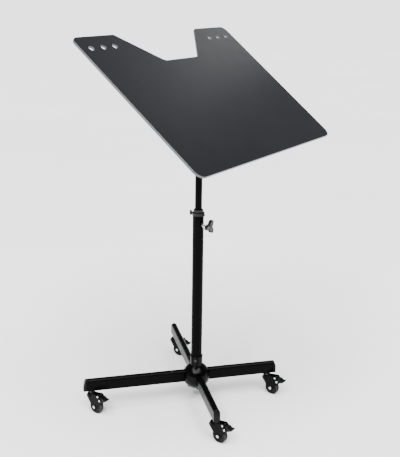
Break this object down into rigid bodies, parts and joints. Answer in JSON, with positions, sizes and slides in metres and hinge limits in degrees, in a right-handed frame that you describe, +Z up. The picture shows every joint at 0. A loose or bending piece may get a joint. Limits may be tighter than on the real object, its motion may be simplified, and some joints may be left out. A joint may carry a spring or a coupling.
{
  "type": "presentation lectern",
  "caption": "Lectern with a notched tilting board on a telescopic column, standing on a four-arm base with braked castors.",
  "frame": {"origin": "on the floor, on the axis of the column", "axes": "+Z up, +Y to the board's high edge, +X along the board's width"},
  "size_m": [0.81, 0.5825, 1.2883],
  "materials": {
    "board_laminate": "satin black laminate board",
    "black_coat": "black powder coat",
    "cast_grey": "dark grey cast metal",
    "tyre_rubber": "dark tread",
    "black_nylon": "moulded black plastic",
    "bush_plastic": "plain plastic bush",
    "brass": "plain",
    "black_screw": "blackened steel",
    "chrome": "bright zinc and chrome"
  },
  "bodies": {
    "base": {"arm_bolts": "chrome", "arm_front_left": "black_coat", "arm_front_right": "black_coat", "arm_nuts": "chrome", "arm_plug_front_left": "black_nylon", "arm_plug_front_right": "black_nylon", "arm_plug_rear_left": "black_nylon", "arm_plug_rear_right": "black_nylon", "arm_rear_left": "black_coat", "arm_rear_right": "black_coat", "castor_stems": "chrome", "clamp_boss": "chrome", "collar": "cast_grey", "column_tube": "black_coat", "hub": "black_coat", "hub_cover": "black_nylon", "lock_nuts": "chrome", "sleeve_screw": "black_screw", "stem_inserts": "chrome", "top_bush": "bush_plastic"},
    "slider": {"mast_glide": "bush_plastic"},
    "mast": {"mast_tube": "black_coat", "tilt_eye": "cast_grey"},
    "desk": {"board": "board_laminate", "board_screws": "black_screw", "tilt_bracket": "black_coat", "tilt_pin": "chrome", "tilt_washers": "chrome"},
    "tilt_lock": {"tilt_knob": "black_nylon"},
    "collar_lock": {"collar_wing_screw": "cast_grey"},
    "clamp_handle": {"clamp_knob": "black_nylon", "clamp_stud": "chrome"},
    "clamp_shoe": {"clamp_pad": "brass"},
    "castor_rear_left": {"castor_fork_rear_left": "black_coat", "castor_axle_rear_left": "chrome", "brake_pins_rear_left": "chrome"},
    "wheel_rear_left": {"wheel_core_rear_left": "black_nylon", "tyre_rear_left": "tyre_rubber"},
    "pedal_rear_left": {"brake_pedal_rear_left": "black_nylon"},
    "castor_rear_right": {"castor_fork_rear_right": "black_coat", "castor_axle_rear_right": "chrome", "brake_pins_rear_right": "chrome"},
    "wheel_rear_right": {"wheel_core_rear_right": "black_nylon", "tyre_rear_right": "tyre_rubber"},
    "pedal_rear_right": {"brake_pedal_rear_right": "black_nylon"},
    "castor_front_left": {"castor_fork_front_left": "black_coat", "castor_axle_front_left": "chrome", "brake_pins_front_left": "chrome"},
    "wheel_front_left": {"wheel_core_front_left": "black_nylon", "tyre_front_left": "tyre_rubber"},
    "pedal_front_left": {"brake_pedal_front_left": "black_nylon"},
    "castor_front_right": {"castor_fork_front_right": "black_coat", "castor_axle_front_right": "chrome", "brake_pins_front_right": "chrome"},
    "wheel_front_right": {"wheel_core_front_right": "black_nylon", "tyre_front_right": "tyre_rubber"},
    "pedal_front_right": {"brake_pedal_front_right": "black_nylon"}
  },
  "joints": [
    {"name": "mast_height", "type": "slide", "parent": "base", "child": "slider", "axis": [0, 0, 1], "range_m": [-0.26, 0.17]},
    {"name": "mast_swivel", "type": "hinge", "parent": "slider", "child": "mast", "pos_m": [0, 0, 0.424], "axis": [0, 0, 1], "continuous": true},
    {"name": "board_tilt", "type": "hinge", "parent": "mast", "child": "desk", "pos_m": [0, 0, 1.0936], "axis": [1, 0, 0], "range_deg": [-37.3, 42.7]},
    {"name": "tilt_lock_turn", "type": "hinge", "parent": "desk", "child": "tilt_lock", "pos_m": [0, 0, 1.0936], "axis": [1, 0, 0], "range_deg": [0, 360]},
    {"name": "collar_lock_turn", "type": "hinge", "parent": "base", "child": "collar_lock", "pos_m": [0, 0.03, 0.6995], "axis": [0, 1, 0], "range_deg": [0, 360]},
    {"name": "clamp_turn", "type": "hinge", "parent": "base", "child": "clamp_handle", "pos_m": [0, -0.0465, 0.6618], "axis": [0, -1, 0], "range_deg": [0, 288]},
    {"name": "clamp_shoe_slide", "type": "slide", "parent": "base", "child": "clamp_shoe", "axis": [0, -1, 0], "range_m": [0, 0.001]},
    {"name": "swivel_rear_left", "type": "hinge", "parent": "base", "child": "castor_rear_left", "pos_m": [-0.27611, 0.25301, 0.0675], "axis": [0, 0, 1], "continuous": true},
    {"name": "roll_rear_left", "type": "hinge", "parent": "castor_rear_left", "child": "wheel_rear_left", "pos_m": [-0.27824, 0.22961, 0.025], "axis": [0.9959, -0.0906, 0], "continuous": true},
    {"name": "brake_rear_left", "type": "hinge", "parent": "castor_rear_left", "child": "pedal_rear_left", "pos_m": [-0.28051, 0.20471, 0.057], "axis": [0.9959, -0.0906, 0], "range_deg": [0, 12]},
    {"name": "swivel_rear_right", "type": "hinge", "parent": "base", "child": "castor_rear_right", "pos_m": [0.25301, 0.27611, 0.0675], "axis": [0, 0, 1], "continuous": true},
    {"name": "roll_rear_right", "type": "hinge", "parent": "castor_rear_right", "child": "wheel_rear_right", "pos_m": [0.25088, 0.25271, 0.025], "axis": [0.9959, -0.0906, 0], "continuous": true},
    {"name": "brake_rear_right", "type": "hinge", "parent": "castor_rear_right", "child": "pedal_rear_right", "pos_m": [0.24861, 0.22781, 0.057], "axis": [0.9959, -0.0906, 0], "range_deg": [0, 12]},
    {"name": "swivel_front_left", "type": "hinge", "parent": "base", "child": "castor_front_left", "pos_m": [-0.18241, -0.19906, 0.0675], "axis": [0, 0, 1], "continuous": true},
    {"name": "roll_front_left", "type": "hinge", "parent": "castor_front_left", "child": "wheel_front_left", "pos_m": [-0.18454, -0.22247, 0.025], "axis": [0.9959, -0.0906, 0], "continuous": true},
    {"name": "brake_front_left", "type": "hinge", "parent": "castor_front_left", "child": "pedal_front_left", "pos_m": [-0.1868, -0.24737, 0.057], "axis": [0.9959, -0.0906, 0], "range_deg": [0, 12]},
    {"name": "swivel_front_right", "type": "hinge", "parent": "base", "child": "castor_front_right", "pos_m": [0.19906, -0.18241, 0.0675], "axis": [0, 0, 1], "continuous": true},
    {"name": "roll_front_right", "type": "hinge", "parent": "castor_front_right", "child": "wheel_front_right", "pos_m": [0.19693, -0.20581, 0.025], "axis": [0.9959, -0.0906, 0], "continuous": true},
    {"name": "brake_front_right", "type": "hinge", "parent": "castor_front_right", "child": "pedal_front_right", "pos_m": [0.19467, -0.23071, 0.057], "axis": [0.9959, -0.0906, 0], "range_deg": [0, 12]}
  ],
  "couplings": [
    {"joint": "clamp_shoe_slide", "follows": "clamp_turn", "m_per_rad": 0.0001989}
  ]
}
